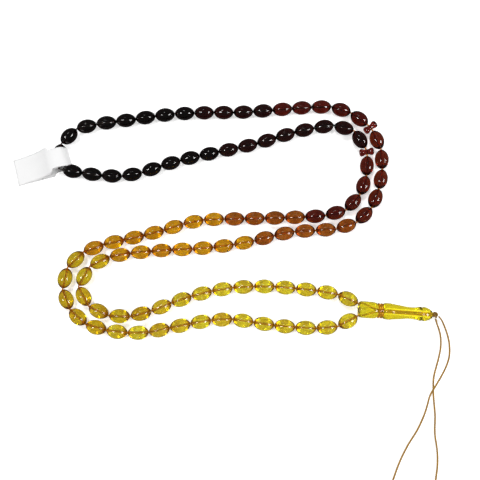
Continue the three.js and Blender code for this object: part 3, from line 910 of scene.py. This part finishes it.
def cut(piece, tubes):
    """Cuts tubes out of a piece for good. Each tube is a list of points and a radius."""
    for points, radius in tubes:
        vertices, faces = swept(resampled(points, CUTTER_STEP), lambda _, __: radius, CUTTER_SIDES)
        cutter = add_object("cutter", new_mesh("cutter", vertices, faces), [])
        modifier = piece.modifiers.new("bore", "BOOLEAN")
        modifier.object = cutter
        modifier.operation = "DIFFERENCE"
        modifier.solver = "EXACT"
        graph = bpy.context.evaluated_depsgraph_get()
        result = bpy.data.meshes.new_from_object(piece.evaluated_get(graph))
        piece.modifiers.clear()
        piece.data = result
        bpy.data.objects.remove(cutter)
    smooth(piece.data)


# ---- Imame ----
def imame_frame():
    return Matrix.Translation(IMAME_START) @ Matrix.Rotation(IMAME_HEADING, 4, "Z")


def entry_point(side):
    """Where a thread enters the junction bead, in the imame's frame; side is 1 or -1."""
    return Vector((-ENTRY_OUTSET, side * ENTRY_OFFSET, 0))


def meeting_point(side):
    """Where that thread comes alongside the other one."""
    return Vector((JUNCTION_LENGTH - MEETING_INSET, side * MEETING_OFFSET, 0))


def add_junction(lemon):
    """The bead where the two ends of the strand come together, with two bores that meet."""
    vertices, faces = capped_turning(smooth_profile(JUNCTION_OUTLINE, 4), IMAME_SIDES)
    junction = add_object("imame_junction", new_mesh("imame_junction", vertices, faces), [lemon])
    bores = []
    for side in (1, -1):
        entry = entry_point(side)
        meeting = meeting_point(side)
        outside = entry + Vector((-1.5, side * 0.5, 0)) * MM
        bores.append(([outside, entry, meeting, meeting + Vector((2, 0, 0)) * MM], BORE_RADIUS))
    cut(junction, bores)
    seeded(junction.data, JUNCTION_SEED)
    junction.matrix_world = imame_frame()
    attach(junction, "imame")
    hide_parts("imame_junction_bead")


def add_imame_turning(name, body, outline, start, amber, seed):
    """The spacer ring or the long body, bored straight through."""
    profile = smooth_profile(outline, 5, start)
    first = profile[0][0]
    last = profile[-1][0]
    bore = [(last + (first - last) * i / IMAME_BORE_STEPS, IMAME_BORE)
            for i in range(IMAME_BORE_STEPS + 1)]
    vertices, faces = turned_rings(profile + bore, IMAME_SIDES, closed=True)
    piece = add_object(name, new_mesh(name, vertices, faces), [amber])
    seeded(piece.data, seed)
    piece.matrix_world = imame_frame()
    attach(piece, body)
    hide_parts(body)


def add_imame(gold):
    lemon = amber_material("imame_lemon", *IMAME_LOOK)
    ring_amber = amber_material("imame_ring_amber", *RING_LOOK)
    add_junction(lemon)
    add_imame_turning("imame_spacer_ring", "imame_ring", RING_OUTLINE, RING_START, ring_amber, RING_SEED)
    add_imame_turning("imame_long_body", "imame_body", BODY_OUTLINE, BODY_START, lemon, BODY_SEED)
    # The two threads come together in the junction bead and run side by side to the knot.
    for index, side in enumerate((1, -1)):
        entry = entry_point(side)
        meeting = meeting_point(side)
        points = [entry + (meeting - entry) * ENTRY_DEPTH, meeting,
                  Vector((RING_START + 1 * MM, side * PAIR_OFFSET, 0)),
                  Vector((BODY_END - 1 * MM, side * PAIR_OFFSET, 0)),
                  Vector((BODY_END + 0.9 * MM, side * MEETING_OFFSET, 0))]
        piece = thread_piece(f"thread_in_imame_{index + 1}", points, gold)
        piece.matrix_world = imame_frame()
        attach(piece, "imame")
        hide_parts("thread_through_imame")


# ---- Knots and tails ----
def add_knot(name, place, radius, material, turn=0.0):
    """A round knot: one cord wound over itself in a tight closed figure, about its place."""
    points = []
    for i in range(KNOT_STEPS):
        t = math.tau * i / KNOT_STEPS
        # A (2, 3) torus knot, pressed into a ball.
        ring = radius * (KNOT_RING + KNOT_SWING * math.cos(KNOT_WAVES * t))
        points.append(Vector((KNOT_THICKNESS * radius * math.sin(KNOT_WAVES * t),
                              ring * math.cos(2 * t + turn), ring * math.sin(2 * t + turn))))
    points.append(points[0])
    vertices, faces = swept(points, ply_radius(KNOT_CORD_RADIUS), KNOT_SIDES, capped=False)
    piece = add_object(name, new_mesh(name, vertices, faces), [material])
    piece.matrix_world = place
    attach(piece, "imame")
    return piece


def add_tail(name, node, route, material):
    line = curve_through(route, TAIL_SAMPLES)
    piece = thread_piece(name, line, material, sides=TAIL_SIDES, step=TAIL_STEP)
    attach(piece, "imame")
    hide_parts(node)
    # The knot lies on the plane, so its middle is as high as its own reach.
    middle = Vector((line[-1].x, line[-1].y, TAIL_KNOT_HEIGHT))
    place = frame_along(middle, (line[-1] - line[-4]).normalized())
    knot = add_knot(f"{name}_end_knot", place, TAIL_KNOT_RADIUS, material)


def add_closing_knot(material):
    place = imame_frame() @ Matrix.Translation((BODY_END + CLOSING_KNOT_OFFSET, 0, 0))
    knot = add_knot("tail_knot_wound", place, CLOSING_KNOT_RADIUS, material, CLOSING_KNOT_TURN)
    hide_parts("tail_knot")


# ---- Separators ----
def add_separator(name, body, corner, before, after, cherry):
    outline = SEPARATOR_HALF_OUTLINE + [(-a, r) for a, r in reversed(SEPARATOR_HALF_OUTLINE)]
    vertices, faces = capped_turning(smooth_profile(outline, 4), SEPARATOR_SIDES)
    piece = add_object(name, new_mesh(name, vertices, faces), [cherry])
    seeded(piece.data, SEPARATOR_SEED)
    place = frame_along(corner, (after - before).normalized().cross(UP))
    inverse = place.inverted()
    cut(piece, [([inverse @ before, inverse @ corner, inverse @ after], SEPARATOR_BORE)])
    piece.matrix_world = place
    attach(piece, body)
    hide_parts(body)


def add_separators():
    cherry = amber_material("separator_cherry", *SEPARATOR_LOOK)
    add_separator("separator_spool_first", "separator_first", FIRST_SEPARATOR, FIRST_ROW[-1],
                  SECOND_ROW[0], cherry)
    add_separator("separator_spool_second", "separator_second", SECOND_SEPARATOR, THIRD_ROW[-1],
                  LAST_ROW[0], cherry)


# ---- Paper tag ----
def tag_vertices(line):
    """The strip's vertices, in rows across it: the upper layer of a row, then the lower one."""
    vertices = []
    for i, point in enumerate(line):
        ahead = (line[min(i + 1, len(line) - 1)] - line[max(i - 1, 0)]).normalized()
        normal = Vector((-ahead.z, 0, ahead.x))
        neck = 1 / (1 + math.exp((NECK_AT - point.x) / NECK_SOFTNESS))
        front = TAG_FRONT + neck * NECK_FROM_FRONT
        back = TAG_BACK - neck * NECK_FROM_BACK
        near_fold = max(0, min(1, point.x / FOLD_ASKEW_FROM))
        for layer in (1, -1):
            for k in range(TAG_COLUMNS + 1):
                y = front + (back - front) * k / TAG_COLUMNS
                place = point + normal * TAG_HALF_THICKNESS * layer + Vector((0, y, 0))
                place.x *= 1 - FOLD_ASKEW * neck * near_fold * (y + 1 * MM)
                vertices.append(place)
    return vertices


def tag_faces(rows):
    """The strip's two layers and its four edges."""
    layer = TAG_COLUMNS + 1
    faces = []
    for i in range(rows - 1):
        here = 2 * layer * i
        ahead = here + 2 * layer
        for k in range(TAG_COLUMNS):
            a, b = here + k, ahead + k
            faces.append((a, a + 1, b + 1, b))
            a, b = a + layer, b + layer
            faces.append((a, b, b + 1, a + 1))
        for k in (0, TAG_COLUMNS):
            a, b = here + k, ahead + k
            faces.append((a, b, b + layer, a + layer))
    for i in (0, rows - 1):
        for k in range(TAG_COLUMNS):
            a = 2 * layer * i + k
            faces.append((a, a + layer, a + layer + 1, a + 1))
    return faces


def add_tag():
    world = Matrix.Translation(TAG_HINGE) @ Matrix.Rotation(TAG_HEADING, 4, "Z")
    line = curve_through([(x * MM, 0, z * MM) for x, z in TAG_TOP + TAG_BOTTOM], TAG_SAMPLES)
    # Mending turns the faces of the edges outwards.
    mesh = new_mesh("folded_label", tag_vertices(line), tag_faces(len(line)), mend=True)
    piece = add_object("folded_label", mesh, [paper_material("tag_paper", PAPER_TINT)])
    piece.matrix_world = world
    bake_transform(piece)
    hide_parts("paper_tag")


# ---- Order of making ----
add_camera()
add_stage()
thread_materials = {name: thread_material(name, *look) for name, look in THREAD_LOOKS.items()}
add_tail("tail_cord_inner", "tail_inner", INNER_TAIL, thread_materials["tail_gold"])
add_tail("tail_cord_outer", "tail_outer", OUTER_TAIL, thread_materials["tail_gold"])
add_beads()
add_imame(thread_materials["thread_gold"])
add_closing_knot(thread_materials["tail_gold"])
add_threads(thread_materials)
add_separators()
add_tag()
